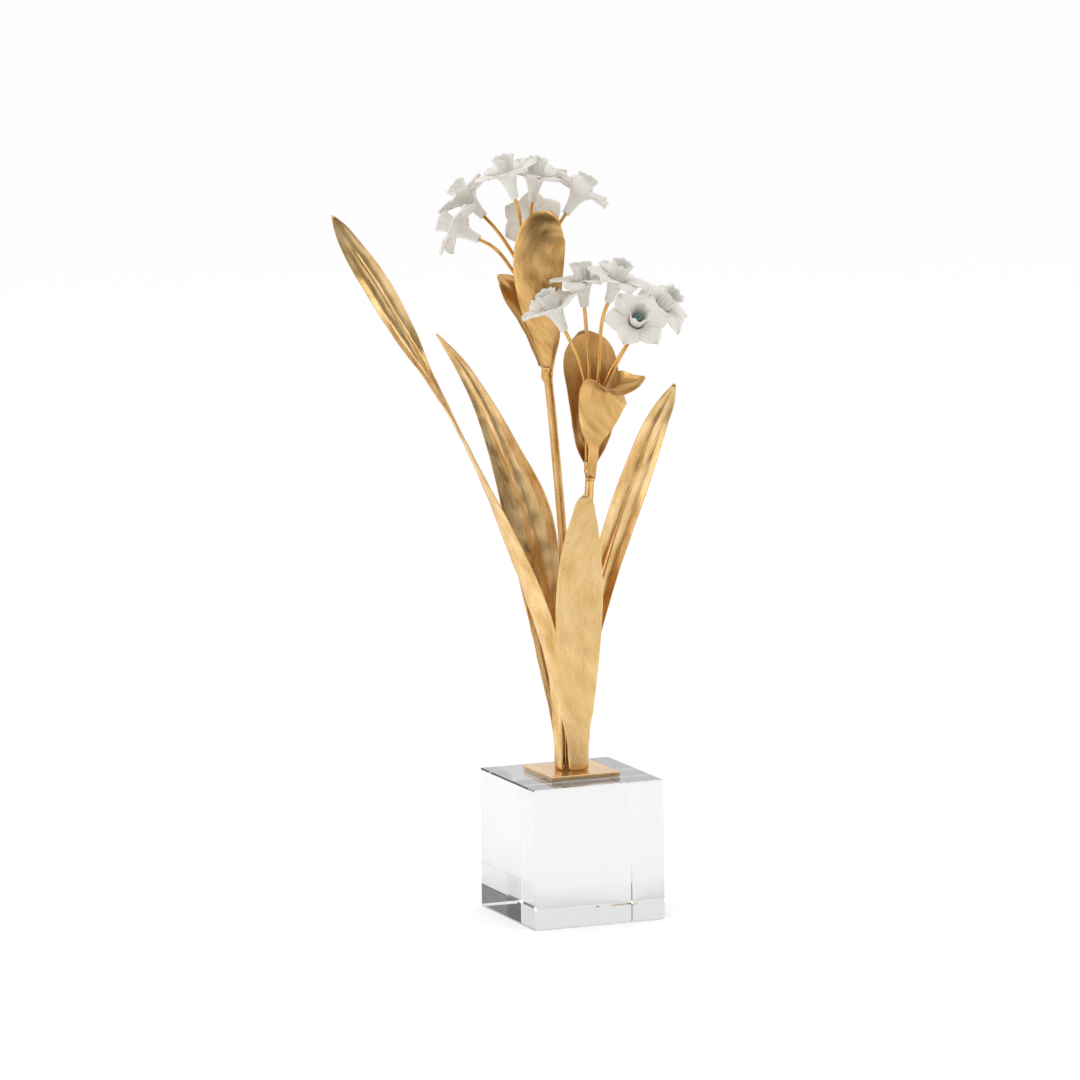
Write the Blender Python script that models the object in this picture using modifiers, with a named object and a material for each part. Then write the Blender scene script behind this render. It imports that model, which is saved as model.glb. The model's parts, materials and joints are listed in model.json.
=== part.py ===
"""A gilded metal narcissus with bisque porcelain florets, standing on a clear crystal block.

Run with: blender --background --python part.py

Leaves, spathes and stalks are cut from sheet and rod, brazed into one clump on a small square
plate and gilded. Each floret is a porcelain perianth, a corona set in its throat and a stamen
bundle, slipped over the end of its own wire pedicel. The origin is the middle of the block's
underside, +Z is up and +Y runs from the block's wide front face to its back.
All sizes below are millimetres.
"""

import math

import bmesh
import bpy
import numpy as np
from mathutils import Matrix, Vector

MM = 0.001
SEAT_GAP = 0.3  # clearance between a piece and what it rests on
WELD = 1e-6  # metres, joins the edges of a surface that closes on itself

# Block and plate
BLOCK_SIDE = 76.0
BLOCK_CHAMFER = 0.8
PLATE_SIDE = 40.0
PLATE_THICKNESS = 2.5
PLATE_CHAMFER = 0.4
PLATE_FOOT = BLOCK_SIDE + SEAT_GAP
CLUMP_FOOT = PLATE_FOOT + PLATE_THICKNESS + 0.5

# Stalks, and the brazed head on top of each that carries the pedicels
SCAPE_RADIUS = 2.4
HEAD_RADIUS = 3.5
HEAD_HEIGHT = 4.0
HEAD_SIDES = 16
UPPER_SCAPE = [
    (-0.6, 2.5, CLUMP_FOOT),
    (-0.8, 3.2, 120.0),
    (-0.6, 4.8, 165.0),
    (-0.9, 6.9, 203.0),
    (-3.0, 9.8, 246.0),
    (-5.3, 12.0, 281.0),
    (-6.4, 12.8, 294.0),
]
LOWER_SCAPE = [
    (0.7, -2.7, CLUMP_FOOT),
    (1.6, -3.2, 110.0),
    (4.6, -4.6, 160.0),
    (7.6, -6.8, 210.0),
    (8.9, -8.8, 242.0),
]

# Pedicel wires
PEDICEL_RADIUS = 1.0
PEDICEL_RING = 2.4  # wires stand round the head on this radius
PEDICEL_RISE = 12.0  # how far a wire runs straight up before it leans out
PEDICEL_LEAD = 6.0  # how far before the floret it lies on the floret's axis
PEDICEL_DEPTH = 3.0  # how deep it goes into the neck
PEDICEL_POINTS = 10

# Leaf and spathe sheet
SHEET = 1.0
LEAF_ROWS = 13
LEAF_COLUMNS = 4

# Florets, all to one pattern. Heights run along the floret's axis from the neck's end.
PORCELAIN = 0.9
NECK_BORE = PEDICEL_RADIUS + 0.5
TUBE = [(0.0, NECK_BORE), (5.0, 1.8), (10.0, 3.4)]  # height, inner radius
THROAT_HEIGHT, THROAT_RADIUS = 14.5, 6.4
PETALS = 6
PETAL_REACH = 18.0
NOTCH_REACH = 9.0
COLUMNS_PER_PETAL = 4
PETAL_SHAPE = 0.75  # under 1 makes a fuller petal
CORONA = [  # outer wall from the foot to the rim: height, radius
    (9.0, 2.6),
    (12.0, 3.5),
    (18.0, 3.9),
    (24.5, 4.7),
]
CORONA_WALL = 0.8
CORONA_STEPS = 10
STAMEN_FOOT_RADIUS = 0.8
STAMEN_TOP_RADIUS = 1.4
STAMEN_TOP = 19.0
STAMEN_SIDES = 8

# Looks that the solids carry: colour, roughness, metallic
MATERIALS = {
    "crystal": ((0.93, 0.95, 0.95), 0.03, 0.0),
    "gilding": ((0.80, 0.58, 0.27), 0.32, 1.0),
    "porcelain": ((0.90, 0.88, 0.85), 0.60, 0.0),
    "stamen_glaze": ((0.28, 0.62, 0.68), 0.30, 0.0),
}

# A blade's stations, foot to tip: point on its midline, width, wrap (the angle in degrees of
# the arc that its section follows) and a vector across it, whose right-hand turn from the
# midline's direction gives the inner face.
LEAVES = {
    "leaf_tall_left": [
        ((-8.6, -1.8, CLUMP_FOOT), 6.8, 50, (-0.3, 1.0, 0)),
        ((-9.1, -1.8, 100), 7.4, 45, (-0.3, 1.0, 0)),
        ((-11.2, -1.4, 138), 12.0, 40, (-0.4, 0.9, 0)),
        ((-16.8, -0.4, 161), 13.5, 38, (-0.5, 0.9, 0)),
        ((-25.3, 2.9, 186), 14.0, 36, (-0.4, 1.0, 0)),
        ((-35.0, 7.0, 211), 13.0, 38, (-0.2, 1.0, 0)),
        ((-45.3, 11.4, 236), 12.0, 42, (0.1, 1.0, 0)),
        ((-59.4, 17.8, 269), 11.0, 46, (0.4, 0.9, 0)),
        ((-71.0, 23.4, 292), 12.0, 44, (0.7, 0.7, 0)),
        ((-83.1, 30.0, 318), 14.0, 40, (1.0, 0.1, 0)),
        ((-95.6, 35.4, 343), 14.6, 35, (1.0, -0.2, 0)),
        ((-106.6, 40.4, 362), 11.5, 30, (1.0, -0.2, 0)),
        ((-114.0, 43.6, 376), 5.0, 20, (1.0, -0.2, 0)),
        ((-116.2, 44.8, 380), 1.5, 10, (1.0, -0.2, 0)),
    ],
    "leaf_mid_left": [
        ((-4.0, 6.9, CLUMP_FOOT), 10.5, 78, (0.9, 0.5, 0)),
        ((-4.4, 8.4, 98), 11.5, 70, (0.9, 0.4, 0)),
        ((-7.4, 12.6, 134), 15.0, 50, (1.0, 0.2, 0)),
        ((-9.0, 16.2, 160), 18.0, 42, (1.0, -0.1, 0)),
        ((-10.6, 20.0, 190), 25.0, 38, (1.0, -0.3, 0)),
        ((-14.8, 23.8, 217), 26.0, 38, (1.0, -0.4, 0)),
        ((-25.5, 30.0, 251), 17.0, 40, (1.0, -0.5, 0)),
        ((-36.0, 34.4, 277), 10.5, 40, (1.0, -0.5, 0)),
        ((-48.0, 38.6, 299), 6.0, 35, (1.0, -0.5, 0)),
        ((-58.6, 41.8, 313.5), 1.5, 20, (1.0, -0.5, 0)),
    ],
    "leaf_front": [
        ((1.6, -8.4, CLUMP_FOOT), 12.2, 92, (-1.0, 0.0, 0)),
        ((0.8, -9.2, 98), 14.2, 76, (-1.0, 0.1, 0)),
        ((-0.8, -10.6, 112), 18.5, 50, (-1.0, 0.3, 0)),
        ((-1.5, -12.2, 128), 21.5, 30, (-0.9, 0.4, 0)),
        ((-1.4, -14.4, 150), 24.0, 22, (-0.9, 0.4, 0)),
        ((-1.2, -16.8, 178), 25.0, 20, (-0.9, 0.4, 0)),
        ((-0.8, -19.3, 203), 19.8, 18, (-0.9, 0.4, 0)),
        ((0.0, -21.0, 219), 13.0, 15, (-0.9, 0.4, 0)),
        ((0.2, -22.0, 229), 6.5, 10, (-0.9, 0.4, 0)),
        ((0.2, -22.2, 231), 3.0, 5, (-0.9, 0.4, 0)),
    ],
    "leaf_right": [
        ((7.6, 2.3, CLUMP_FOOT), 11.5, 86, (0.3, -1.0, 0)),
        ((8.0, 2.6, 98), 11.0, 78, (0.4, -0.9, 0)),
        ((9.4, 2.8, 122), 11.5, 60, (0.6, -0.8, 0)),
        ((12.2, 2.6, 148), 12.5, 50, (0.8, -0.6, 0)),
        ((17.8, 1.0, 174), 14.5, 45, (0.9, -0.5, 0)),
        ((25.4, -1.8, 201), 16.0, 42, (0.9, -0.5, 0)),
        ((37.2, -8.9, 240), 16.0, 40, (0.9, -0.5, 0)),
        ((45.9, -14.7, 267), 12.0, 35, (0.9, -0.5, 0)),
        ((50.6, -17.7, 278), 8.0, 25, (0.9, -0.5, 0)),
        ((53.8, -20.0, 287), 3.0, 15, (0.9, -0.5, 0)),
    ],
    "spathe_upper_front": [
        ((-8.1, 8.6, 296), 7.0, 90, (-0.9, 0.4, 0)),
        ((-8.6, 7.4, 304), 11.0, 80, (-0.9, 0.4, 0)),
        ((-9.6, 6.2, 313), 15.5, 68, (-0.9, 0.4, 0)),
        ((-12.0, 5.0, 322.5), 20.0, 58, (-0.9, 0.4, 0)),
        ((-13.7, 4.5, 333), 23.6, 52, (-0.9, 0.4, 0)),
        ((-14.6, 4.1, 344), 26.5, 48, (-0.9, 0.4, 0)),
        ((-14.4, 3.8, 355), 27.8, 46, (-0.9, 0.4, 0)),
        ((-13.2, 3.5, 364), 27.0, 44, (-0.9, 0.4, 0)),
        ((-11.2, 3.1, 371), 23.5, 40, (-0.9, 0.4, 0)),
        ((-8.4, 2.4, 375.6), 17.0, 34, (-0.9, 0.4, 0)),
        ((-5.4, 1.8, 379), 6.0, 20, (-0.9, 0.4, 0)),
    ],
    "spathe_upper_back": [
        ((-9.0, 16.1, 296), 6.5, 90, (0.8, 0.6, 0)),
        ((-11.0, 18.8, 306), 10.5, 75, (0.8, 0.5, 0)),
        ((-13.2, 22.0, 318), 14.0, 60, (0.9, 0.3, 0)),
        ((-16.2, 25.0, 329), 16.0, 50, (0.9, 0.1, 0.1)),
        ((-20.0, 26.6, 337), 14.5, 45, (0.9, -0.1, 0.4)),
        ((-24.4, 27.6, 342), 8.5, 40, (0.7, -0.3, 0.7)),
        ((-28.2, 28.0, 344.8), 2.0, 20, (0.6, -0.4, 0.7)),
    ],
    "spathe_lower_back": [
        ((10.6, -4.8, 245), 7.5, 90, (0.9, -0.4, 0)),
        ((11.5, -3.4, 252), 16.5, 84, (0.9, -0.4, 0)),
        ((13.4, -1.2, 260), 21.5, 74, (0.9, -0.4, 0)),
        ((14.4, 0.0, 269), 24.5, 64, (0.9, -0.4, 0)),
        ((15.0, 1.0, 278), 27.0, 56, (0.9, -0.4, 0)),
        ((15.1, 1.9, 289), 29.5, 48, (0.9, -0.4, 0)),
        ((13.8, 2.3, 300), 29.0, 42, (0.9, -0.4, 0)),
        ((12.6, 2.5, 306), 25.5, 38, (0.9, -0.4, 0)),
        ((11.2, 2.5, 311), 18.0, 32, (0.9, -0.4, 0)),
        ((9.6, 2.5, 315.5), 5.0, 20, (0.9, -0.4, 0)),
    ],
    "spathe_lower_front": [
        ((7.6, -12.3, 238), 5.0, 60, (-0.9, 0.4, 0)),
        ((8.3, -14.2, 249), 5.4, 60, (-0.9, 0.4, 0)),
        ((8.2, -16.0, 256.7), 7.5, 60, (-0.9, 0.4, 0)),
        ((8.2, -16.8, 262), 14.5, 60, (-0.9, 0.4, 0)),
        ((9.2, -18.2, 269), 20.5, 58, (-0.9, 0.4, 0)),
        ((10.6, -20.2, 277), 25.0, 54, (-0.9, 0.4, 0)),
        ((12.0, -23.2, 284), 27.5, 50, (-0.9, 0.4, 0)),
        ((14.8, -26.6, 287.5), 25.0, 46, (-0.8, 0.1, -0.3)),
        ((19.2, -30.4, 289.3), 19.0, 44, (-0.6, -0.3, -0.6)),
        ((24.4, -33.8, 291), 11.0, 40, (-0.4, -0.5, -0.7)),
        ((29.4, -36.2, 294), 3.0, 20, (-0.3, -0.5, -0.8)),
    ],
}

# Florets: the neck's end, the way that the floret looks, its roll in degrees, how far its petals
# lift towards the corona at their tips (negative where they fold back), and a point that its
# pedicel passes on the way up.
FLORETS = {
    "upper": {
        "1": ((-44.0, 15.0, 366.3), (-0.70, 0.58, 0.42), 0, -3.0, (-24.9, 16.0, 349.0)),
        "2": ((-35.7, 28.0, 376.9), (-0.52, 0.50, 0.69), 13, 2.0, (-22.4, 21.2, 357.0)),
        "3": ((-25.8, 8.6, 387.9), (-0.29, 0.01, 0.96), 16, 1.0, (-19.5, 15.0, 370.9)),
        "4": ((-10.3, 21.3, 384.2), (0.05, -0.16, 0.99), 35, 2.0, (-11.0, 18.2, 362.0)),
        "5": ((3.3, 7.9, 378.1), (0.59, 0.00, 0.81), 29, 0.0, (-4.6, 10.4, 350.0)),
        "6": ((-6.6, 30.9, 368.4), (0.40, 0.90, 0.15), 30, 0.0, (-4.0, 23.5, 344.0)),
    },
    "lower": {
        "1": ((-6.7, -12.5, 318.5), (-0.47, -0.01, 0.88), 15, 1.0, (5.6, -9.6, 291.6)),
        "2": ((7.7, -6.0, 329.6), (-0.10, -0.06, 0.99), 44, -1.5, (9.8, -6.8, 292.1)),
        "3": ((17.3, -16.3, 332.9), (0.22, -0.36, 0.91), 5, -1.5, (13.2, -11.4, 294.0)),
        "4": ((23.1, -34.5, 317.7), (-0.15, -0.80, 0.58), 59, 0.0, (16.6, -17.4, 293.5)),
        "5": ((39.5, -16.5, 321.1), (0.43, -0.61, 0.67), 27, -2.5, (20.6, -11.0, 292.4)),
    },
}


def clear_scene():
    for obj in list(bpy.data.objects):
        bpy.data.objects.remove(obj, do_unlink=True)


def make_materials():
    made = {}
    for name, (colour, roughness, metallic) in MATERIALS.items():
        material = bpy.data.materials.new(name)
        material.use_nodes = True
        shader = material.node_tree.nodes["Principled BSDF"]
        shader.inputs["Base Color"].default_value = (*colour, 1.0)
        shader.inputs["Roughness"].default_value = roughness
        shader.inputs["Metallic"].default_value = metallic
        made[name] = material
    return made


def add_object(name, data, material):
    data.materials.append(material)
    obj = bpy.data.objects.new(name, data)
    parts.objects.link(obj)
    return obj


def add_bevel(obj, width):
    bevel = obj.modifiers.new("rounded_edges", "BEVEL")
    bevel.width = width * MM
    bevel.segments = 1


def solidify(obj, thickness, offset):
    shell = obj.modifiers.new("sheet", "SOLIDIFY")
    shell.thickness = thickness * MM
    shell.offset = offset
    shell.use_even_offset = False


def smooth_line(points, count):
    """Points evenly spaced in parameter along a smooth curve through the given ones."""
    known = np.array(points, float)
    knots = np.concatenate([[0.0], np.cumsum(np.linalg.norm(np.diff(known[:, :3], axis=0), axis=1))])
    slopes = np.gradient(known, knots, axis=0)
    made = []
    for at in np.linspace(0.0, knots[-1], count):
        i = min(int(np.searchsorted(knots, at, side="right")) - 1, len(knots) - 2)
        span = knots[i + 1] - knots[i]
        t = (at - knots[i]) / span
        made.append(
            (2 * t**3 - 3 * t**2 + 1) * known[i]
            + (t**3 - 2 * t**2 + t) * span * slopes[i]
            + (3 * t**2 - 2 * t**3) * known[i + 1]
            + (t**3 - t**2) * span * slopes[i + 1]
        )
    return np.array(made)


def make_box(name, side, height, foot, chamfer, material):
    bm = bmesh.new()
    bmesh.ops.create_cube(bm, size=1.0)
    bmesh.ops.scale(bm, vec=Vector((side, side, height)) * MM, verts=bm.verts)
    bmesh.ops.translate(bm, vec=(0, 0, height / 2 * MM), verts=bm.verts)
    mesh = bpy.data.meshes.new(name)
    bm.to_mesh(mesh)
    bm.free()
    obj = add_object(name, mesh, material)
    obj.location.z = foot * MM
    add_bevel(obj, chamfer)
    return obj


def make_rod(name, points, radius, material):
    curve = bpy.data.curves.new(name, "CURVE")
    curve.dimensions = "3D"
    curve.bevel_depth = radius * MM
    curve.bevel_resolution = 2
    curve.use_fill_caps = True
    line = curve.splines.new("POLY")
    line.points.add(len(points) - 1)
    for point, place in zip(line.points, points):
        point.co = (*(np.array(place) * MM), 1.0)
    return add_object(name, curve, material)


def make_blade(name, stations, material):
    """A sheet whose section follows an arc that changes from foot to tip."""
    rows = smooth_line([(*p, width, wrap, *across) for p, width, wrap, across in stations], LEAF_ROWS)
    middles = rows[:, :3]
    along = np.gradient(middles, axis=0)
    along /= np.linalg.norm(along, axis=1)[:, None]
    bm = bmesh.new()
    bmesh.ops.create_grid(bm, x_segments=LEAF_COLUMNS, y_segments=LEAF_ROWS - 1, size=1.0)
    for vertex in bm.verts:
        share = vertex.co.x / 2
        row = round((vertex.co.y + 1) / 2 * (LEAF_ROWS - 1))
        width, wrap = rows[row, 3], math.radians(rows[row, 4])
        across = rows[row, 5:8] - along[row] * (rows[row, 5:8] @ along[row])
        across /= np.linalg.norm(across)
        inner = np.cross(across, along[row])
        radius = width / wrap
        turn = wrap * share
        place = middles[row] + across * radius * math.sin(turn) + inner * radius * (1 - math.cos(turn))
        vertex.co = Vector(place) * MM
    mesh = bpy.data.meshes.new(name)
    bm.to_mesh(mesh)
    bm.free()
    obj = add_object(name, mesh, material)
    solidify(obj, SHEET, 0.0)
    return obj


def make_head(name, scape, material):
    """The brazed plug on a stalk's end. It stands upright, and the pedicels stand on it."""
    x, y, z = scape[-1]
    bm = bmesh.new()
    bmesh.ops.create_cone(
        bm,
        cap_ends=True,
        segments=HEAD_SIDES,
        radius1=SCAPE_RADIUS * MM,
        radius2=HEAD_RADIUS * MM,
        depth=HEAD_HEIGHT * MM,
    )
    mesh = bpy.data.meshes.new(name)
    bm.to_mesh(mesh)
    bm.free()
    obj = add_object(name, mesh, material)
    foot = z + SEAT_GAP + SCAPE_TILT_ROOM
    obj.location = Vector((x, y, foot + HEAD_HEIGHT / 2)) * MM
    return np.array((x, y, foot + HEAD_HEIGHT))


SCAPE_TILT_ROOM = 0.4  # a leaning stalk's end face rises this far at its edge


def make_pedicel(name, foot, passing, neck, axis, material):
    """A wire that rises from the head and comes round onto the floret's axis."""
    risen = foot + (0, 0, PEDICEL_RISE)
    leading = neck - axis * PEDICEL_LEAD
    end = neck + axis * PEDICEL_DEPTH
    points = smooth_line([foot, risen, passing, leading, neck, end], PEDICEL_POINTS)
    return make_rod(name, points, PEDICEL_RADIUS, material)


def floret_frame(neck, axis, roll):
    """The matrix that stands a piece, made along +Z from the origin, on the floret's axis."""
    turn = Vector(axis).to_track_quat("Z", "Y").to_matrix().to_4x4()
    return Matrix.Translation(Vector(neck) * MM) @ turn @ Matrix.Rotation(math.radians(roll), 4, "Z")


def make_perianth(name, lift, place, material):
    """Tube and petals as one shell: a grid round the axis, its outer rows drawn out into lobes."""
    columns = PETALS * COLUMNS_PER_PETAL
    rows = [*TUBE, (THROAT_HEIGHT, THROAT_RADIUS)]
    lobe_rows = (0.45, 1.0)
    bm = bmesh.new()
    bmesh.ops.create_grid(bm, x_segments=columns, y_segments=len(rows) + len(lobe_rows) - 1, size=1.0)
    for vertex in bm.verts:
        angle = (vertex.co.x + 1) * math.pi
        row = round((vertex.co.y + 1) / 2 * (len(rows) + len(lobe_rows) - 1))
        lobe = abs(math.cos(PETALS / 2 * angle)) ** PETAL_SHAPE
        if row < len(rows):
            height, radius = rows[row]
        else:
            share = lobe_rows[row - len(rows)]
            reach = NOTCH_REACH + (PETAL_REACH - NOTCH_REACH) * lobe
            radius = THROAT_RADIUS + (reach - THROAT_RADIUS) * share
            height = THROAT_HEIGHT + 0.8 * share + lift * ((radius - THROAT_RADIUS) / PETAL_REACH) ** 1.5
        vertex.co = Vector((radius * math.cos(angle), radius * math.sin(angle), height)) * MM
    bmesh.ops.remove_doubles(bm, verts=bm.verts, dist=WELD)
    mesh = bpy.data.meshes.new(name)
    bm.to_mesh(mesh)
    bm.free()
    obj = add_object(name, mesh, material)
    obj.matrix_world = place
    solidify(obj, PORCELAIN, 1.0)
    return obj


def make_corona(name, place, material):
    """A cup turned from the profile of its wall, closed at the foot."""
    foot, foot_radius = CORONA[0]
    floor = foot + CORONA_WALL
    inner = [(height, radius - CORONA_WALL) for height, radius in CORONA[1:]]
    profile = [(floor, 0.0), (floor, foot_radius - CORONA_WALL), *inner, *reversed(CORONA), (foot, 0.0)]
    mesh = bpy.data.meshes.new(name)
    mesh.from_pydata(
        [(radius * MM, 0, height * MM) for height, radius in profile],
        [(i, i + 1) for i in range(len(profile) - 1)],
        [],
    )
    obj = add_object(name, mesh, material)
    obj.matrix_world = place
    turned = obj.modifiers.new("turned", "SCREW")
    turned.steps = turned.render_steps = CORONA_STEPS
    turned.use_merge_vertices = True
    turned.merge_threshold = 0.00001
    return obj


def make_stamens(name, place, material):
    """The bundle of stamens, standing on the floor of the corona."""
    foot = CORONA[0][0] + CORONA_WALL + SEAT_GAP
    bm = bmesh.new()
    bmesh.ops.create_cone(
        bm,
        cap_ends=True,
        segments=STAMEN_SIDES,
        radius1=STAMEN_FOOT_RADIUS * MM,
        radius2=STAMEN_TOP_RADIUS * MM,
        depth=(STAMEN_TOP - foot) * MM,
    )
    bmesh.ops.translate(bm, vec=(0, 0, (foot + STAMEN_TOP) / 2 * MM), verts=bm.verts)
    mesh = bpy.data.meshes.new(name)
    bm.to_mesh(mesh)
    bm.free()
    obj = add_object(name, mesh, material)
    obj.matrix_world = place
    return obj


def make_umbel(tier, head_top, materials):
    """One head's florets: their wires stand in a ring round it, in the order of their bearings."""
    florets = FLORETS[tier]
    bearing = {
        number: math.atan2(passing[1] - head_top[1], passing[0] - head_top[0])
        for number, (*_, passing) in florets.items()
    }
    ordered = sorted(florets, key=bearing.get)
    for place_in_ring, number in enumerate(ordered):
        neck, axis, roll, lift, passing = florets[number]
        axis = Vector(axis).normalized()
        angle = bearing[ordered[0]] + 2 * math.pi * place_in_ring / len(ordered)
        foot = head_top + PEDICEL_RING * np.array((math.cos(angle), math.sin(angle), 0))
        foot[2] += SEAT_GAP
        wire = f"pedicel_{tier}_{number}"
        make_pedicel(wire, foot, np.array(passing), np.array(neck), np.array(axis), materials["gilding"])
        place = floret_frame(neck, axis, roll)
        make_perianth(f"perianth_{tier}_{number}", lift, place, materials["porcelain"])
        make_corona(f"corona_{tier}_{number}", place, materials["porcelain"])
        make_stamens(f"stamens_{tier}_{number}", place, materials["stamen_glaze"])


clear_scene()
parts = bpy.data.collections.new("gilded_narcissus")
bpy.context.scene.collection.children.link(parts)
finishes = make_materials()

make_box("crystal_block", BLOCK_SIDE, BLOCK_SIDE, 0.0, BLOCK_CHAMFER, finishes["crystal"])
make_box("base_plate", PLATE_SIDE, PLATE_THICKNESS, PLATE_FOOT, PLATE_CHAMFER, finishes["gilding"])
for leaf, leaf_stations in LEAVES.items():
    make_blade(leaf, leaf_stations, finishes["gilding"])
for umbel_tier, scape_route in (("upper", UPPER_SCAPE), ("lower", LOWER_SCAPE)):
    make_rod(f"scape_{umbel_tier}", smooth_line(scape_route, 12), SCAPE_RADIUS, finishes["gilding"])
    umbel_head = make_head(f"umbel_head_{umbel_tier}", scape_route, finishes["gilding"])
    make_umbel(umbel_tier, umbel_head, finishes)
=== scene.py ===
import json
import math
import random

import bpy
import numpy as np
from mathutils import Matrix, Vector, noise

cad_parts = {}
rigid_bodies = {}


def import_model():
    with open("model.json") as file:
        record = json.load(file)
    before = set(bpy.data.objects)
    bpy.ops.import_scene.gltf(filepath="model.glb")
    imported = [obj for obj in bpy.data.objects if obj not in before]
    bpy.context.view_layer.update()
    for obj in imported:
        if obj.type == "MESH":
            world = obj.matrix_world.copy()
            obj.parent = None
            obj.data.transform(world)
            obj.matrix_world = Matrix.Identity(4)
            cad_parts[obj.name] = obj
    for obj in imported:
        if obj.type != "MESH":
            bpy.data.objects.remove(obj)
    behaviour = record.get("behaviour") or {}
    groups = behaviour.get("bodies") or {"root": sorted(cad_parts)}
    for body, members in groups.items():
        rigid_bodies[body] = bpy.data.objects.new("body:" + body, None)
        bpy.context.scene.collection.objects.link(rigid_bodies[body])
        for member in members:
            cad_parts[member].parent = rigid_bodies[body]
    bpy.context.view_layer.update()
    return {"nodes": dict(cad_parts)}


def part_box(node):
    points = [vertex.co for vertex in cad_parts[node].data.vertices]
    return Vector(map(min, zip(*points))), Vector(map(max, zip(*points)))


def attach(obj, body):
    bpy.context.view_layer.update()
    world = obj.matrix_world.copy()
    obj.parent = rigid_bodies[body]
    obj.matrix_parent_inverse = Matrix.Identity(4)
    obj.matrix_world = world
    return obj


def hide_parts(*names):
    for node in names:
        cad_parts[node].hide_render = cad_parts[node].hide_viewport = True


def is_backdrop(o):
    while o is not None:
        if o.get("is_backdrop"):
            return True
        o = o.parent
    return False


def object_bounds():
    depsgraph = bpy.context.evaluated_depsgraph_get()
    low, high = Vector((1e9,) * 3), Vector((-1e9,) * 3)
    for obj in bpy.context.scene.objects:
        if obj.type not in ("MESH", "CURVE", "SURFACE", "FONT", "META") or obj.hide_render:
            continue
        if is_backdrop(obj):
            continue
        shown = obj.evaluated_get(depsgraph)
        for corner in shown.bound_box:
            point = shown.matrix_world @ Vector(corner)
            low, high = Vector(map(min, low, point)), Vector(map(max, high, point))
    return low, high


# A gilded metal narcissus with bisque porcelain florets, standing on a crystal block.
for leftover in list(bpy.data.objects):
    bpy.data.objects.remove(leftover, do_unlink=True)
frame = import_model()


# ---------------------------------------------------------------- crystal block
# A cube of optical crystal, sawn, ground and polished on all faces, with a narrow polished
# chamfer on each edge. It stands on its flat underside.

MM = 0.001


def new_material(name):
    material = bpy.data.materials.new(name)
    material.use_nodes = True
    nodes, links = material.node_tree.nodes, material.node_tree.links
    return material, nodes, links, nodes["Principled BSDF"]


# The real glass is clear: this grey is painted shade, which only holds the block off the bright table.
GLASS_PAINTED_SHADE = (0.78, 0.78, 0.785, 1.0)


def crystal():
    material, nodes, links, shader = new_material("polished_crystal")
    # Painted shade: a flat grey base colour on the clear glass.
    shader.inputs["Base Color"].default_value = GLASS_PAINTED_SHADE
    shader.inputs["Transmission Weight"].default_value = 1.0
    shader.inputs["IOR"].default_value = 1.52
    where = nodes.new("ShaderNodeTexCoord")
    haze = nodes.new("ShaderNodeTexNoise")
    haze.inputs["Scale"].default_value = 60.0
    haze.inputs["Detail"].default_value = 4.0
    links.new(where.outputs["Object"], haze.inputs["Vector"])
    wiped = nodes.new("ShaderNodeMapRange")
    wiped.inputs["From Min"].default_value = 0.35
    wiped.inputs["From Max"].default_value = 0.75
    wiped.inputs["To Min"].default_value = 0.0
    wiped.inputs["To Max"].default_value = 0.035
    links.new(haze.outputs["Fac"], wiped.inputs["Value"])
    links.new(wiped.outputs["Result"], shader.inputs["Roughness"])
    return material


def refinish(node, material):
    """Gives a carried-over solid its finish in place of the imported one."""
    solid = frame["nodes"][node]
    solid.data.materials.clear()
    solid.data.materials.append(material)
    return solid


refinish("crystal_block", crystal())


# ---------------------------------------------------------------- base plate
# A square of 2.5 mm brass sheet, filed flat, its edges eased, and gilded with the clump that is
# brazed to it. It is bonded to the top of the block.


def loft(name, sections, across, along, material, slot, *replaced):
    """A closed skin through like sections (rows x points x 3, millimetres), capped at both ends.

    across and along give each point its place on the metal in millimetres, for brush marks.
    """
    rows, count = sections.shape[:2]
    faces = []
    for row in range(rows - 1):
        for i in range(count):
            j = (i + 1) % count
            faces.append((row * count + i, row * count + j, (row + 1) * count + j, (row + 1) * count + i))
    faces.append(tuple(reversed(range(count))))
    faces.append(tuple(range((rows - 1) * count, rows * count)))
    mesh = bpy.data.meshes.new(name)
    mesh.from_pydata((sections.reshape(-1, 3) * MM).tolist(), [], faces)
    mesh.update()
    layer = mesh.uv_layers.new(name="brushing")
    laid = np.stack([np.broadcast_to(across, (rows, count)), np.broadcast_to(along, (rows, count))], -1)
    laid = laid.reshape(-1, 2)
    corners = np.array([loop.vertex_index for loop in mesh.loops])
    layer.data.foreach_set("uv", laid[corners].astype(np.float32).ravel())
    mesh.polygons.foreach_set("use_smooth", [True] * len(mesh.polygons))
    mesh.materials.append(material)
    piece = bpy.data.objects.new(name, mesh)
    bpy.context.scene.collection.objects.link(piece)
    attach(piece, "root")
    if replaced:
        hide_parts(*replaced)
    return piece


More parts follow.
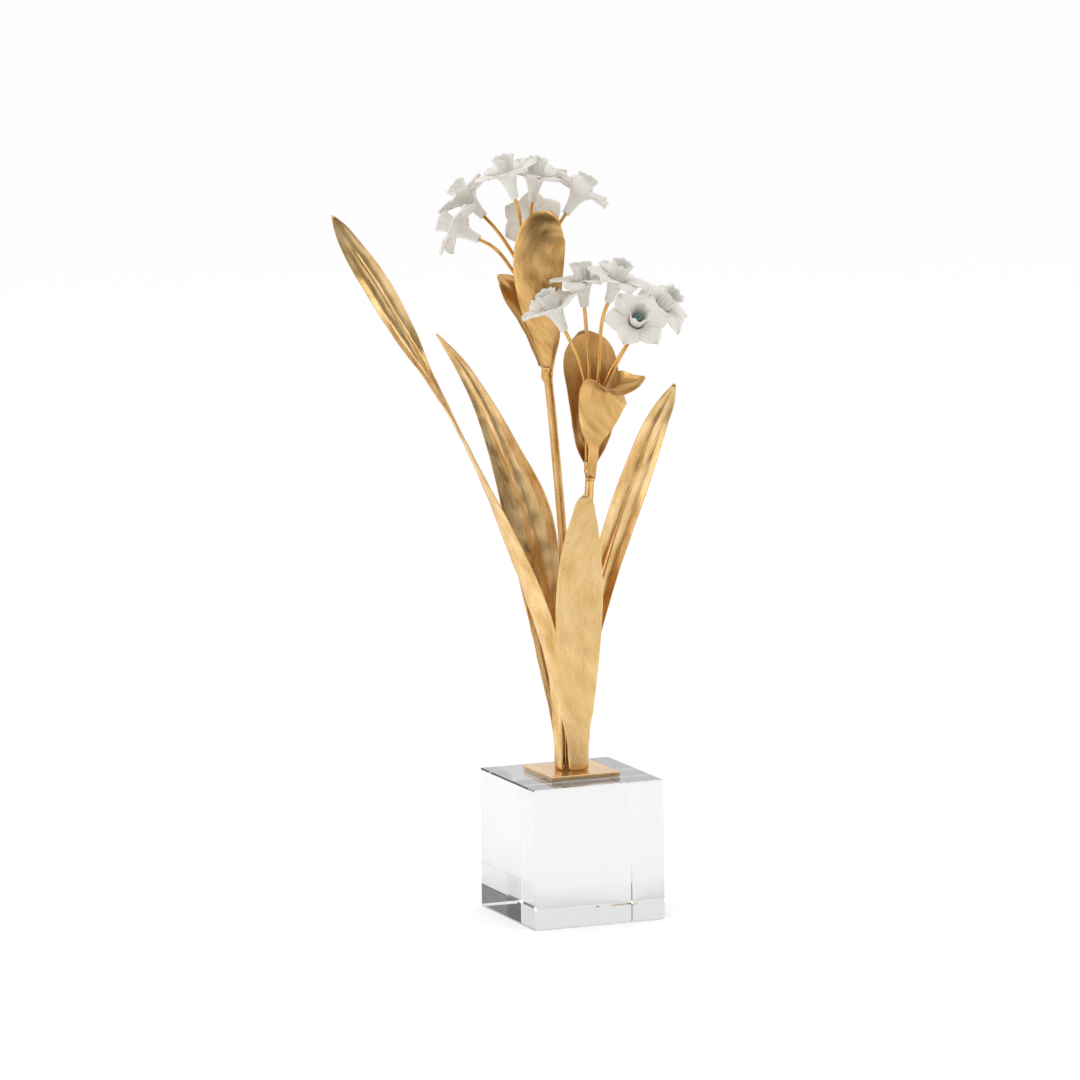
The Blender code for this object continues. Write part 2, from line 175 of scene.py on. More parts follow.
def gilding(name, pale, deep, burnish, grain=1.0, on_block=False):
    """Gold leaf over brushed metal: brush marks lengthwise, uneven tone, pin holes and rubbed spots."""
    material, nodes, links, shader = new_material(name)
    shader.inputs["Metallic"].default_value = 1.0
    where = nodes.new("ShaderNodeTexCoord")
    placed = nodes.new("ShaderNodeMapping")
    placed.inputs["Scale"].default_value = (1000.0,) * 3 if on_block else (1.0, 1.0, 1.0)
    links.new(where.outputs["Object" if on_block else "UV"], placed.inputs["Vector"])

    def texture(scale, stretch, detail):
        stretched = nodes.new("ShaderNodeMapping")
        stretched.inputs["Scale"].default_value = stretch
        links.new(placed.outputs["Vector"], stretched.inputs["Vector"])
        made = nodes.new("ShaderNodeTexNoise")
        made.inputs["Scale"].default_value = scale
        made.inputs["Detail"].default_value = detail
        links.new(stretched.outputs["Vector"], made.inputs["Vector"])
        return made.outputs["Fac"]

    brush = texture(1.6, (1.0, 0.07, 1.0), 5.0)
    clouds = texture(0.11, (1.0, 0.45, 1.0), 3.0)
    speckle = texture(1.1, (1.0, 0.7, 1.0), 6.0)

    blend = nodes.new("ShaderNodeMix")
    blend.data_type = "FLOAT"
    blend.inputs["Factor"].default_value = 0.42
    links.new(clouds, blend.inputs["A"])
    links.new(brush, blend.inputs["B"])
    tone = nodes.new("ShaderNodeValToRGB")
    tone.color_ramp.elements[0].position = 0.36
    tone.color_ramp.elements[0].color = (*deep, 1.0)
    tone.color_ramp.elements[1].position = 0.62
    tone.color_ramp.elements[1].color = (*pale, 1.0)
    links.new(blend.outputs["Result"], tone.inputs["Fac"])

    worn = nodes.new("ShaderNodeValToRGB")
    worn.color_ramp.elements[0].position = 0.27
    worn.color_ramp.elements[0].color = (0.30, 0.17, 0.06, 1.0)
    worn.color_ramp.elements[1].position = 0.36
    worn.color_ramp.elements[1].color = (1.0, 1.0, 1.0, 1.0)
    links.new(speckle, worn.inputs["Fac"])
    rubbed = nodes.new("ShaderNodeMix")
    rubbed.data_type = "RGBA"
    rubbed.blend_type = "MULTIPLY"
    rubbed.inputs["Factor"].default_value = 0.75
    links.new(tone.outputs["Color"], rubbed.inputs["A"])
    links.new(worn.outputs["Color"], rubbed.inputs["B"])
    links.new(rubbed.outputs["Result"], shader.inputs["Base Color"])

    dull = nodes.new("ShaderNodeMapRange")
    dull.inputs["From Min"].default_value = 0.3
    dull.inputs["From Max"].default_value = 0.7
    dull.inputs["To Min"].default_value = burnish
    dull.inputs["To Max"].default_value = burnish + 0.16
    links.new(blend.outputs["Result"], dull.inputs["Value"])
    links.new(dull.outputs["Result"], shader.inputs["Roughness"])

    marks = nodes.new("ShaderNodeBump")
    marks.inputs["Strength"].default_value = 0.35 * grain
    marks.inputs["Distance"].default_value = 0.05 * MM
    links.new(brush, marks.inputs["Height"])
    pits = nodes.new("ShaderNodeBump")
    pits.inputs["Strength"].default_value = 0.30 * grain
    pits.inputs["Distance"].default_value = 0.12 * MM
    links.new(speckle, pits.inputs["Height"])
    links.new(marks.outputs["Normal"], pits.inputs["Normal"])
    links.new(pits.outputs["Normal"], shader.inputs["Normal"])
    return material


PLATE_GOLD = gilding("plate_gilding", (0.86, 0.62, 0.34), (0.66, 0.41, 0.19), 0.24, 0.8, on_block=True)
refinish("base_plate", PLATE_GOLD)


# ---------------------------------------------------------------- leaves
# Four strap leaves cut from brass sheet, hammered over a grooved former so that the inner face
# gets a raised midrib between two channels, bent by hand, brazed round the stalks and gilded.

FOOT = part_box("leaf_front")[0].z / MM + 0.1  # the height at which the clump starts
SHEET = 1.1


def smooth_line(points, count):
    """Points evenly spaced along a smooth curve through the given ones."""
    known = np.array(points, float)
    steps = np.linalg.norm(np.diff(known[:, :3], axis=0), axis=1)
    knots = np.concatenate([[0.0], np.cumsum(steps)])
    slopes = np.gradient(known, knots, axis=0)
    made = []
    for at in np.linspace(0.0, knots[-1], count):
        i = min(int(np.searchsorted(knots, at, side="right")) - 1, len(knots) - 2)
        span = knots[i + 1] - knots[i]
        t = (at - knots[i]) / span
        made.append(
            (2 * t**3 - 3 * t**2 + 1) * known[i]
            + (t**3 - 2 * t**2 + t) * span * slopes[i]
            + (3 * t**2 - 2 * t**3) * known[i + 1]
            + (t**3 - t**2) * span * slopes[i + 1]
        )
    return np.array(made)


def ripple(place, size, height):
    """Unevenness left by the hammer, in millimetres."""
    return height * noise.noise(Vector(place) / size)


ROW_STEP, LEAST_ROWS = 2.2, 24
POINTS_ACROSS = 29
LEAST_WIDTH = 0.8
FOOT_FADE, TIP_FADE = 0.25, 0.12  # shares of the length over which the relief grows and dies away
FULL_RELIEF_WIDTH = 12
EDGE_THINNING = 0.3
RIB_WIDTH, GROOVE_WIDTH, GROOVE_DEPTH = 0.9, 0.7, 0.35
LIP_HEIGHT, LIP_START, LIP_SHARE = 0.25, 0.86, 0.14
BROAD_DENT, FINE_DENT = 9.0, 3.0


def shape_blade(name, stations, material, rib=0.7, channel=0.5, thickness=SHEET, uneven=0.35):
    """A hammered sheet: an arc in section, with a midrib and two channels on its inner face."""
    length = sum(math.dist(a[0], b[0]) for a, b in zip(stations, stations[1:]))
    rows = max(LEAST_ROWS, round(length / ROW_STEP))
    line = smooth_line([(*p, width, wrap, *side) for p, width, wrap, side in stations], rows)
    middles = line[:, :3]
    along = np.gradient(middles, axis=0)
    along /= np.linalg.norm(along, axis=1)[:, None]
    shares = np.sin(np.linspace(-1, 1, POINTS_ACROSS) * math.pi / 2)
    sections, across_mm, along_mm = [], [], []
    for row in range(rows):
        width, wrap = max(line[row, 3], LEAST_WIDTH), math.radians(line[row, 4])
        side = line[row, 5:8] - along[row] * (line[row, 5:8] @ along[row])
        side /= np.linalg.norm(side)
        inner = np.cross(side, along[row])
        radius = width / wrap
        gone = row / (rows - 1)
        relief = min(1.0, gone / FOOT_FADE) * min(1.0, (1 - gone) / TIP_FADE)
        relief = relief * min(1.0, width / FULL_RELIEF_WIDTH)
        top, bottom = [], []
        for share in shares:
            turn = wrap * share / 2
            out = side * math.sin(turn) - inner * math.cos(turn)
            surface = middles[row] + inner * radius + out * radius
            off = abs(share) * width / 2
            half = thickness * (0.5 - EDGE_THINNING * abs(share) ** 8)
            raised = rib * math.exp(-((off / RIB_WIDTH) ** 2))
            pressed = channel * math.exp(-(((off - 0.24 * width) / (0.13 * width + 0.3)) ** 2))
            lip = LIP_HEIGHT * max(0.0, abs(share) - LIP_START) / LIP_SHARE
            bump = ripple(surface, BROAD_DENT, uneven) + ripple(surface, FINE_DENT, uneven * 0.25)
            rise = relief * (raised - pressed + lip)
            top.append(surface - out * (half + rise + bump))
            groove = GROOVE_DEPTH * relief * math.exp(-((off / GROOVE_WIDTH) ** 2))
            bottom.append(surface + out * (half - groove - bump))
        sections.append(top + bottom[::-1])
        across_mm.append(np.concatenate([shares, 3 - shares[::-1]]) * width / 2)
        along_mm.append([gone * length] * (2 * len(shares)))
    sections = np.array(sections)[:, ::-1]
    across_mm = np.array(across_mm)[:, ::-1]
    return loft(name + "_blade", sections, across_mm, np.array(along_mm), material, "gilding", name)


LEAF_GOLD = gilding("leaf_gilding", (0.89, 0.64, 0.33), (0.56, 0.32, 0.10), 0.22)
FRONT_GOLD = gilding("front_leaf_gilding", (0.86, 0.62, 0.31), (0.66, 0.42, 0.16), 0.38)
LEAVES = {
    "leaf_tall_left": [
        ((-8.6, -1.8, FOOT), 6.8, 50, (-0.3, 1.0, 0)),
        ((-9.1, -1.8, 100), 7.4, 45, (-0.3, 1.0, 0)),
        ((-11.2, -1.4, 138), 12.0, 40, (-0.4, 0.9, 0)),
        ((-16.8, -0.4, 161), 13.5, 38, (-0.5, 0.9, 0)),
        ((-25.3, 2.9, 186), 14.0, 36, (-0.4, 1.0, 0)),
        ((-35.0, 7.0, 211), 13.0, 38, (-0.2, 1.0, 0)),
        ((-45.3, 11.4, 236), 12.0, 42, (0.1, 1.0, 0)),
        ((-59.4, 17.8, 269), 11.0, 46, (0.4, 0.9, 0)),
        ((-71.0, 23.4, 292), 12.0, 44, (0.7, 0.7, 0)),
        ((-83.1, 30.0, 318), 14.0, 40, (1.0, 0.1, 0)),
        ((-95.6, 35.4, 343), 14.6, 35, (1.0, -0.2, 0)),
        ((-106.6, 40.4, 362), 11.5, 30, (1.0, -0.2, 0)),
        ((-114.0, 43.6, 376), 5.0, 20, (1.0, -0.2, 0)),
        ((-116.2, 44.8, 380), 1.0, 10, (1.0, -0.2, 0)),
    ],
    "leaf_mid_left": [
        ((-4.0, 6.9, FOOT), 10.5, 78, (0.9, 0.5, 0)),
        ((-4.4, 8.4, 98), 11.5, 70, (0.9, 0.4, 0)),
        ((-7.4, 12.6, 134), 15.0, 50, (1.0, 0.2, 0)),
        ((-9.0, 16.2, 160), 18.0, 42, (1.0, -0.1, 0)),
        ((-10.6, 20.0, 190), 25.0, 38, (1.0, -0.3, 0)),
        ((-14.8, 23.8, 217), 26.0, 38, (1.0, -0.4, 0)),
        ((-25.5, 30.0, 251), 17.0, 40, (1.0, -0.5, 0)),
        ((-36.0, 34.4, 277), 10.5, 40, (1.0, -0.5, 0)),
        ((-48.0, 38.6, 299), 6.0, 35, (1.0, -0.5, 0)),
        ((-58.6, 41.8, 313.5), 1.0, 20, (1.0, -0.5, 0)),
    ],
    "leaf_front": [
        ((1.6, -8.4, FOOT), 12.2, 92, (-1.0, 0.0, 0)),
        ((0.8, -9.2, 98), 14.2, 76, (-1.0, 0.1, 0)),
        ((-0.8, -10.6, 112), 18.5, 50, (-1.0, 0.3, 0)),
        ((-1.5, -12.2, 128), 21.5, 30, (-0.9, 0.4, 0)),
        ((-1.4, -14.4, 150), 24.0, 22, (-0.9, 0.4, 0)),
        ((-1.2, -16.8, 178), 25.0, 20, (-0.9, 0.4, 0)),
        ((-0.8, -19.3, 203), 19.8, 18, (-0.9, 0.4, 0)),
        ((0.0, -21.0, 219), 13.0, 15, (-0.9, 0.4, 0)),
        ((0.2, -22.0, 229), 6.0, 10, (-0.9, 0.4, 0)),
        ((0.2, -22.2, 231), 2.0, 5, (-0.9, 0.4, 0)),
    ],
    "leaf_right": [
        ((7.6, 2.3, FOOT), 11.5, 86, (0.3, -1.0, 0)),
        ((8.0, 2.6, 98), 11.0, 78, (0.4, -0.9, 0)),
        ((9.4, 2.8, 122), 11.5, 60, (0.6, -0.8, 0)),
        ((12.2, 2.6, 148), 12.5, 50, (0.8, -0.6, 0)),
        ((17.8, 1.0, 174), 14.5, 45, (0.9, -0.5, 0)),
        ((25.4, -1.8, 201), 16.0, 42, (0.9, -0.5, 0)),
        ((37.2, -8.9, 240), 16.0, 40, (0.9, -0.5, 0)),
        ((45.9, -14.7, 267), 12.0, 35, (0.9, -0.5, 0)),
        ((50.6, -17.7, 278), 8.0, 25, (0.9, -0.5, 0)),
        ((53.8, -20.0, 287), 1.5, 15, (0.9, -0.5, 0)),
    ],
}
for leaf, leaf_stations in LEAVES.items():
    flat = leaf == "leaf_front"
    shape_blade(leaf, leaf_stations, FRONT_GOLD if flat else LEAF_GOLD, rib=0.1 if flat else 0.8)


# ---------------------------------------------------------------- stalks and heads
# Two straight lengths of round brass rod, brazed into the clump at the foot, each ending in a
# small brazed plug that holds the flower wires.

STALK_RADIUS = 2.4
STALK_RINGS = 60
PLUG_DROP = 6.0  # how far the brazed plug runs down over its stalk
PLUG_RINGS = 16
STALK_GOLD = gilding("stalk_gilding", (0.80, 0.52, 0.22), (0.52, 0.28, 0.08), 0.16, 0.7)


def rod_sections(points, radii, sides=20, uneven=0.0):
    """Rings round a line, square to it and untwisted."""
    along = np.gradient(points, axis=0)
    along /= np.linalg.norm(along, axis=1)[:, None]
    side = np.cross(along[0], (0.0, 0.35, 1.0) if abs(along[0, 2]) < 0.9 else (0.0, 1.0, 0.0))
    angles = np.linspace(0, 2 * math.pi, sides, endpoint=False)
    rings, run, gone = [], [], 0.0
    for i, point in enumerate(points):
        side = side - along[i] * (side @ along[i])
        side /= np.linalg.norm(side)
        other = np.cross(along[i], side)
        gone += 0.0 if i == 0 else math.dist(point, points[i - 1])
        ring = []
        for angle in angles:
            out = side * math.cos(angle) + other * math.sin(angle)
            ring.append(point + out * (radii[i] + ripple(point + out * radii[i], 2.4, uneven)))
        rings.append(ring)
        run.append([gone] * sides)
    return np.array(rings), angles * float(np.mean(radii)), np.array(run)


def shape_rod(name, points, radii, material, slot, *replaced, uneven=0.0):
    rings, around, run = rod_sections(points, radii, uneven=uneven)
    return loft(name, rings, around, run, material, slot, *replaced)


SCAPES = {
    "upper": [
        (-0.6, 2.5, FOOT),
        (-0.8, 3.2, 120.0),
        (-0.6, 4.8, 165.0),
        (-0.9, 6.9, 203.0),
        (-3.0, 9.8, 246.0),
        (-5.3, 12.0, 281.0),
        (-6.4, 12.8, 294.0),
    ],
    "lower": [
        (0.7, -2.7, FOOT),
        (1.6, -3.2, 110.0),
        (4.6, -4.6, 160.0),
        (7.6, -6.8, 210.0),
        (8.9, -8.8, 242.0),
    ],
}
HEAD_TOP = {}
for tier, route in SCAPES.items():
    low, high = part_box(f"umbel_head_{tier}")
    HEAD_TOP[tier] = np.array((*route[-1][:2], high.z / MM))
    stalk = smooth_line(route, STALK_RINGS)
    radii = [STALK_RADIUS] * STALK_RINGS
    shape_rod(f"stalk_{tier}", stalk, radii, STALK_GOLD, "gilding", f"scape_{tier}", uneven=0.08)
    heights = np.linspace(route[-1][2] - PLUG_DROP, high.z / MM, PLUG_RINGS)
    plug = np.array([(*route[-1][:2], z) for z in heights])
    swell = [2.5 + 1.1 * math.sin(i / (PLUG_RINGS - 1) * math.pi / 2) for i in range(PLUG_RINGS)]
    shape_rod(f"plug_{tier}", plug, swell, STALK_GOLD, "gilding", f"umbel_head_{tier}", uneven=0.8)


# ---------------------------------------------------------------- spathes
# The papery bracts below each flower head, cut from thinner sheet, dished over a stake and
# brazed to the stalk at the foot. The lower front one rolls out to the right at its tip.

SPATHES = {
    "spathe_upper_front": [
        ((-8.1, 8.6, 296), 7.0, 90, (-0.9, 0.4, 0)),
        ((-8.6, 7.4, 304), 11.0, 80, (-0.9, 0.4, 0)),
        ((-9.6, 6.2, 313), 15.5, 68, (-0.9, 0.4, 0)),
        ((-12.0, 5.0, 322.5), 20.0, 58, (-0.9, 0.4, 0)),
        ((-13.7, 4.5, 333), 23.6, 52, (-0.9, 0.4, 0)),
        ((-14.6, 4.1, 344), 26.5, 48, (-0.9, 0.4, 0)),
        ((-14.4, 3.8, 355), 27.8, 46, (-0.9, 0.4, 0)),
        ((-13.2, 3.5, 364), 27.0, 44, (-0.9, 0.4, 0)),
        ((-11.2, 3.1, 371), 23.5, 40, (-0.9, 0.4, 0)),
        ((-8.4, 2.4, 375.6), 17.0, 34, (-0.9, 0.4, 0)),
        ((-5.4, 1.8, 379), 5.0, 20, (-0.9, 0.4, 0)),
    ],
    "spathe_upper_back": [
        ((-9.0, 16.1, 296), 6.5, 90, (0.8, 0.6, 0)),
        ((-11.0, 18.8, 306), 10.5, 75, (0.8, 0.5, 0)),
        ((-13.2, 22.0, 318), 14.0, 60, (0.9, 0.3, 0)),
        ((-16.2, 25.0, 329), 16.0, 50, (0.9, 0.1, 0.1)),
        ((-20.0, 26.6, 337), 14.5, 45, (0.9, -0.1, 0.4)),
        ((-24.4, 27.6, 342), 8.5, 40, (0.7, -0.3, 0.7)),
        ((-28.2, 28.0, 344.8), 1.5, 20, (0.6, -0.4, 0.7)),
    ],
    "spathe_lower_back": [
        ((10.6, -4.8, 245), 7.5, 90, (0.9, -0.4, 0)),
        ((11.5, -3.4, 252), 16.5, 84, (0.9, -0.4, 0)),
        ((13.4, -1.2, 260), 21.5, 74, (0.9, -0.4, 0)),
        ((14.4, 0.0, 269), 24.5, 64, (0.9, -0.4, 0)),
        ((15.0, 1.0, 278), 27.0, 56, (0.9, -0.4, 0)),
        ((15.1, 1.9, 289), 29.5, 48, (0.9, -0.4, 0)),
        ((13.8, 2.3, 300), 29.0, 42, (0.9, -0.4, 0)),
        ((12.6, 2.5, 306), 25.5, 38, (0.9, -0.4, 0)),
        ((11.2, 2.5, 311), 18.0, 32, (0.9, -0.4, 0)),
        ((9.6, 2.5, 315.5), 4.0, 20, (0.9, -0.4, 0)),
    ],
    "spathe_lower_front": [
        ((7.6, -12.3, 238), 5.0, 60, (-0.9, 0.4, 0)),
        ((8.3, -14.2, 249), 5.4, 60, (-0.9, 0.4, 0)),
        ((8.2, -16.0, 256.7), 7.5, 60, (-0.9, 0.4, 0)),
        ((8.2, -16.8, 262), 14.5, 60, (-0.9, 0.4, 0)),
        ((9.2, -18.2, 269), 20.5, 58, (-0.9, 0.4, 0)),
        ((10.6, -20.2, 277), 25.0, 54, (-0.9, 0.4, 0)),
        ((12.0, -23.2, 284), 27.5, 50, (-0.9, 0.4, 0)),
        ((14.8, -26.6, 287.5), 25.0, 46, (-0.8, 0.1, -0.3)),
        ((19.2, -30.4, 289.3), 19.0, 44, (-0.6, -0.3, -0.6)),
        ((24.4, -33.8, 291), 11.0, 40, (-0.4, -0.5, -0.7)),
        ((29.4, -36.2, 294), 1.5, 20, (-0.3, -0.5, -0.8)),
    ],
}
SPATHE_GOLD = gilding("spathe_gilding", (0.74, 0.47, 0.19), (0.44, 0.24, 0.07), 0.26, 1.2)
for spathe, spathe_stations in SPATHES.items():
    shape_blade(spathe, spathe_stations, SPATHE_GOLD, rib=0.25, channel=0.2, thickness=1.0, uneven=0.5)


# ---------------------------------------------------------------- florets
# Each floret is bisque porcelain, unglazed: a drawn tube with six hand-rolled petals luted on in
# two rounds of three, a frilled corona set in its throat, and a bundle of glazed stamens.


def bisque(name, tint):
    """Unglazed white porcelain: faint warm mottling and fine ribs down each petal."""
    material, nodes, links, shader = new_material(name)
    shader.inputs["Roughness"].default_value = 0.62
    shader.inputs["Subsurface Weight"].default_value = 0.12
    shader.inputs["Subsurface Radius"].default_value = (1.0, 0.8, 0.6)
    shader.inputs["Subsurface Scale"].default_value = 1.2 * MM
    where = nodes.new("ShaderNodeTexCoord")
    clay = nodes.new("ShaderNodeTexNoise")
    clay.inputs["Scale"].default_value = 0.5
    clay.inputs["Detail"].default_value = 4.0
    links.new(where.outputs["UV"], clay.inputs["Vector"])
    tone = nodes.new("ShaderNodeValToRGB")
    tone.color_ramp.elements[0].position = 0.3
    tone.color_ramp.elements[0].color = (tint[0] * 0.93, tint[1] * 0.92, tint[2] * 0.90, 1.0)
    tone.color_ramp.elements[1].position = 0.7
    tone.color_ramp.elements[1].color = (*tint, 1.0)
    links.new(clay.outputs["Fac"], tone.inputs["Fac"])
    links.new(tone.outputs["Color"], shader.inputs["Base Color"])
    drawn = nodes.new("ShaderNodeMapping")
    drawn.inputs["Scale"].default_value = (1.5, 0.06, 1.0)
    links.new(where.outputs["UV"], drawn.inputs["Vector"])
    ribs = nodes.new("ShaderNodeTexNoise")
    ribs.inputs["Scale"].default_value = 1.3
    ribs.inputs["Detail"].default_value = 2.0
    links.new(drawn.outputs["Vector"], ribs.inputs["Vector"])
    relief = nodes.new("ShaderNodeBump")
    relief.inputs["Strength"].default_value = 0.6
    relief.inputs["Distance"].default_value = 0.25 * MM
    links.new(ribs.outputs["Fac"], relief.inputs["Height"])
    links.new(relief.outputs["Normal"], shader.inputs["Normal"])
    return material


def stamen_glaze():
    material, nodes, links, shader = new_material("turquoise_glaze")
    shader.inputs["Roughness"].default_value = 0.28
    shader.inputs["Coat Weight"].default_value = 0.4
    where = nodes.new("ShaderNodeTexCoord")
    pooled = nodes.new("ShaderNodeTexNoise")
    pooled.inputs["Scale"].default_value = 0.9
    links.new(where.outputs["UV"], pooled.inputs["Vector"])
    tone = nodes.new("ShaderNodeValToRGB")
    tone.color_ramp.elements[0].position = 0.35
    tone.color_ramp.elements[0].color = (0.10, 0.38, 0.44, 1.0)
    tone.color_ramp.elements[1].position = 0.65
    tone.color_ramp.elements[1].color = (0.34, 0.68, 0.72, 1.0)
    links.new(pooled.outputs["Fac"], tone.inputs["Fac"])
    links.new(tone.outputs["Color"], shader.inputs["Base Color"])
    return material


PETAL_BISQUE = bisque("petal_bisque", (0.80, 0.77, 0.72))
CORONA_BISQUE = bisque("corona_bisque", (0.78, 0.765, 0.72))
TURQUOISE = stamen_glaze()
WIRE_GOLD = gilding("wire_gilding", (0.78, 0.46, 0.15), (0.48, 0.24, 0.06), 0.18, 0.6)

PETALS, STAMENS = 6, 5
TUBE_SIDES, CORONA_SIDES = 36, 72

# radius and height of the petal's midline from the tube to its tip, and its half width there
PETAL_LINE = [
    (3.3, 9.6, 1.7),
    (4.5, 12.2, 2.4),
    (6.4, 14.3, 4.2),
    (9.0, 15.6, 6.1),
    (11.8, 16.0, 7.0),
    (14.4, 16.0, 5.4),
    (16.4, 15.9, 2.6),
    (17.8, 15.8, 0.3),
]


def petal_sections(turn, lift, chance):
    """One petal as closed rows: its face, then its back, from the tube to the pointed tip."""
    reach = chance.uniform(0.94, 1.0)
    cup = chance.uniform(-2.2, 2.2)
    curl = chance.uniform(-2.8, 2.8)
    wave, phase = chance.uniform(0.3, 0.9), chance.uniform(0, 6)
    line = smooth_line([(r, h, 0.0, w) for r, h, w in PETAL_LINE], 20)
    shares = np.linspace(-1, 1, 13)
    rows = []
    for i, (radius, height, _, half) in enumerate(line):
        gone = i / (len(line) - 1)
        out = min(radius, 6.4) + max(0.0, radius - 6.4) * reach
        bend = max(0.0, (radius - 6.4) / 12.0)
        face, back = [], []
        for share in shares:
            sideways = half * share
            angle = sideways / max(out, 4.0) if out < 8 else math.atan2(sideways, out)
            rim = out if out < 8 else math.hypot(out, sideways) - 0.10 * sideways**2 / out
            rise = lift * bend**1.4 + cup * share**2 * bend + curl * bend**2 * 0.6
            rise += wave * math.sin(4.0 * share + phase + 3 * gone) * bend
            rise -= 0.35 * math.exp(-((share / 0.16) ** 2)) * min(1.0, bend * 4)
            thick = 0.22 + 0.28 * (1 - abs(share) ** 3) * (1 - 0.5 * gone)
            facing = (math.cos(turn + angle), math.sin(turn + angle))
            for store, half_thick in ((face, thick), (back, -thick)):
                lean = max(0.0, 1 - bend * 3)
                store.append(
                    (
                        (rim - half_thick * lean * 0.8) * facing[0],
                        (rim - half_thick * lean * 0.8) * facing[1],
                        height + rise + half_thick * (1 - lean * 0.5),
                    )
                )
        rows.append(face[::-1] + back)
    return np.array(rows)


def joined(pieces, name):
    """Several skins as one object, as luted clay fires into one piece; the first one keeps its place."""
    with bpy.context.temp_override(
        active_object=pieces[0], selected_editable_objects=pieces, selected_objects=pieces
    ):
        bpy.ops.object.join()
    pieces[0].name = name
    return pieces[0]


def turned(profile, sides, frill=None):
    """Rings of a wall turned round the axis; frill(angle, height) gives a push outwards and a rise."""
    rings = []
    for radius, height in profile:
        ring = []
        for k in range(sides):
            angle = 2 * math.pi * k / sides
            push, drop = frill(angle, height) if frill else (0.0, 0.0)
            reach = max(radius + push * min(1.0, radius), 0.02)
            ring.append((reach * math.cos(angle), reach * math.sin(angle), height + drop))
        rings.append(ring)
    return np.array(rings)


def make_perianth(name, node, place, lift, chance):
    outer = [(1.5, 0.0), (2.2, 0.0), (2.4, 1.0), (2.6, 4.0), (3.3, 7.5), (4.2, 10.5)]
    outer += [(5.6, 13.0), (7.0, 14.4)]
    inner = [(6.6, 14.8), (5.0, 13.4), (3.6, 11.0), (2.6, 8.0), (1.7, 4.0), (1.5, 0.6)]
    facets = chance.uniform(0, 6)

    def folded(angle, height):
        return 0.16 * math.cos(6 * angle) * min(1.0, height / 6) + 0.08 * math.sin(2 * angle + facets), 0.0

    rings = turned(outer + inner + outer[:1], TUBE_SIDES, folded)
    around = np.linspace(0, 24, TUBE_SIDES)
    run = np.cumsum([0.0] + [math.dist(a, b) for a, b in zip(outer + inner, (outer + inner)[1:] + outer[:1])])
    tube = loft(name + "_tube", rings[::-1], around, run[:, None], PETAL_BISQUE, "porcelain")
    petals = []
    for i in range(PETALS):
        turn = math.radians(360 / PETALS * i + chance.uniform(-4, 4))
        rows = petal_sections(turn, lift + chance.uniform(-0.8, 0.8), chance)
        rows[..., 2] += 0.0 if i % 2 else -0.55
        shares = np.concatenate([np.linspace(1, -1, 13), np.linspace(-1, 1, 13)]) * 6
        run = np.linspace(0, 18, len(rows))[:, None]
        petals.append(loft(f"{name}_petal_{i}", rows, shares, run, PETAL_BISQUE, "porcelain"))
    whole = joined([tube, *petals], name)
    whole.data.transform(place)
    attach(whole, "root")
    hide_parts(node)
    return whole


def make_corona(name, node, place, chance):
    wall = [(0.03, 9.1), (2.5, 9.2), (3.4, 11.6), (3.9, 14.5), (4.3, 17.5), (4.8, 20.2)]
    wall += [(5.5, 22.4), (6.0, 23.4)]
    bore = [(5.7, 23.6), (5.1, 22.4), (4.3, 20.2), (3.8, 17.5), (3.4, 14.5), (2.8, 12.0)]
    bore += [(1.8, 10.2), (0.03, 9.9)]
    lobes = chance.choice((7, 8, 9))
    phases = [chance.uniform(0, 6) for _ in range(3)]

    def frilled(angle, height):
        near_rim = max(0.0, (height - 15.5) / 7.5)
        push = 0.42 * near_rim**2 * math.sin(lobes * angle + phases[0])
        push += 0.16 * math.sin(12 * angle + phases[1])
        drop = near_rim**3 * (0.30 * math.sin(lobes * angle + phases[2]) + 0.25 * math.sin(3 * angle))
        return push, drop

    rings = turned(wall + bore, CORONA_SIDES, frilled)
    run = np.cumsum([0.0] + [math.dist(a, b) for a, b in zip(wall + bore, (wall + bore)[1:])])
    cup = loft(name, rings, np.linspace(0, 26, CORONA_SIDES), run[:, None], CORONA_BISQUE, "porcelain", node)
    cup.data.transform(place)
    return cup


def make_stamens(name, node, place, chance):
    rods = []
    for i in range(STAMENS):
        angle = 2 * math.pi * i / STAMENS + chance.uniform(-0.4, 0.4)
        foot = np.array((0.45 * math.cos(angle), 0.45 * math.sin(angle), 10.2))
        tip = np.array((1.25 * math.cos(angle), 1.25 * math.sin(angle), chance.uniform(17.4, 19.6)))
        line = smooth_line([foot, (foot + tip) / 2 * (0.9, 0.9, 1.0), tip], 9)
        radii = [0.3, 0.3, 0.3, 0.3, 0.34, 0.5, 0.62, 0.5, 0.15]
        rods.append(shape_rod(f"{name}_{i}", line, radii, TURQUOISE, "stamen_glaze"))
    bundle = joined(rods, name)
    bundle.data.transform(place)
    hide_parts(node)
    return bundle


WIRE_RADIUS, WIRE_RINGS = 1.0, 48
WIRE_CIRCLE = 2.4  # the wires' feet stand on a circle of this radius
WIRE_RISE = 12.0
WIRE_LEAD = 6.0  # straight length below the neck
WIRE_DEPTH = 3.0  # length inside the neck

